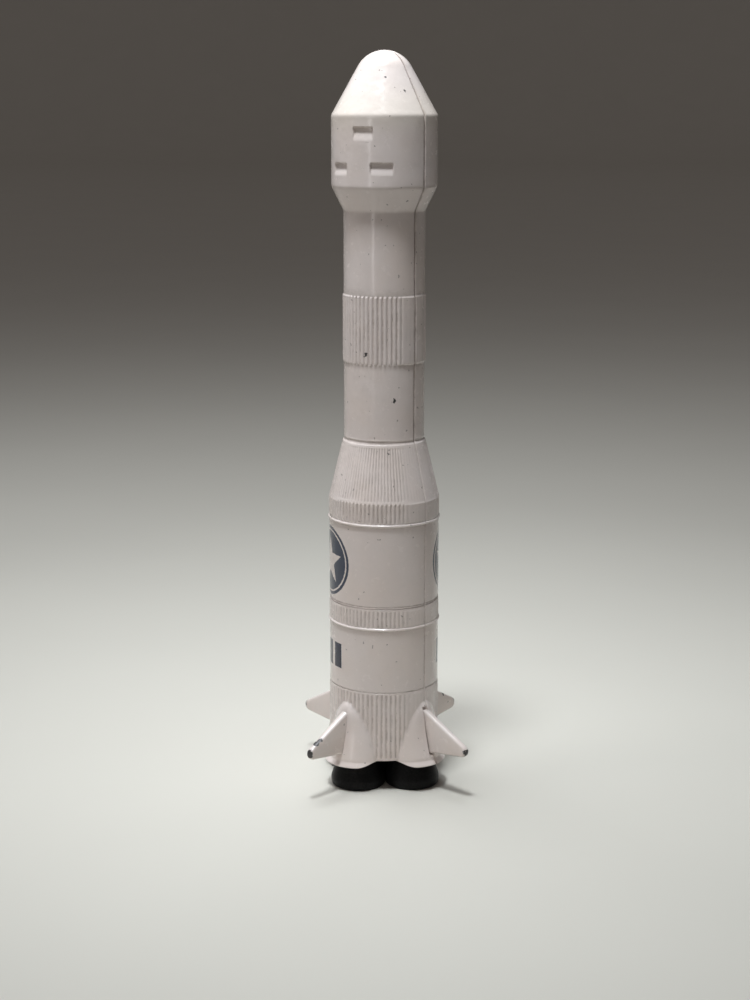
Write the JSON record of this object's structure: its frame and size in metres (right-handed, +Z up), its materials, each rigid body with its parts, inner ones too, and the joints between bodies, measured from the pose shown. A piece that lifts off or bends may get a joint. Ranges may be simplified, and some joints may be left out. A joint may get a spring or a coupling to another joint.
{
  "type": "toy rocket",
  "caption": "Die-cast toy rocket with stepped stages, hammerhead nose fairing, cowled engine bells, swept fins and a hinged rear cover over a payload bay.",
  "frame": {"origin": "on the rocket's axis, in the plane of the engine bells' rims that it stands on", "axes": "+Z up along the rocket's axis; the halves part on the XZ plane, with the full-height front casting on -Y and the hinged cover on +Y; the fins lie along X and Y"},
  "size_m": [0.0412, 0.0412, 0.1339],
  "materials": {
    "white_enamel": "gloss white enamel on a zinc casting, chipped to dark metal at the fin tips",
    "black_plastic": "moulded black plastic, semi-matt",
    "plated_steel": "zinc-plated steel",
    "grey_plastic": "moulded light grey plastic",
    "gold_plastic": "moulded gold-coloured plastic",
    "blue_plastic": "moulded dark blue plastic"
  },
  "bodies": {
    "rocket_body": {"front_shell": "white_enamel", "rear_lower_shell": "white_enamel", "hinge_pin": "plated_steel", "engine_block": "black_plastic", "lower_screw": "plated_steel", "upper_screw": "plated_steel", "payload_adapter": "grey_plastic", "satellite_body": "gold_plastic", "satellite_panel_left": "blue_plastic", "satellite_panel_right": "blue_plastic", "satellite_dish": "grey_plastic"},
    "cover": {"rear_upper_cover": "white_enamel"}
  },
  "joints": [
    {"name": "cover_hinge", "type": "hinge", "parent": "rocket_body", "child": "cover", "pos_m": [0, 0.00763, 0.06474], "axis": [-1, 0, 0], "range_deg": [0, 110]}
  ]
}
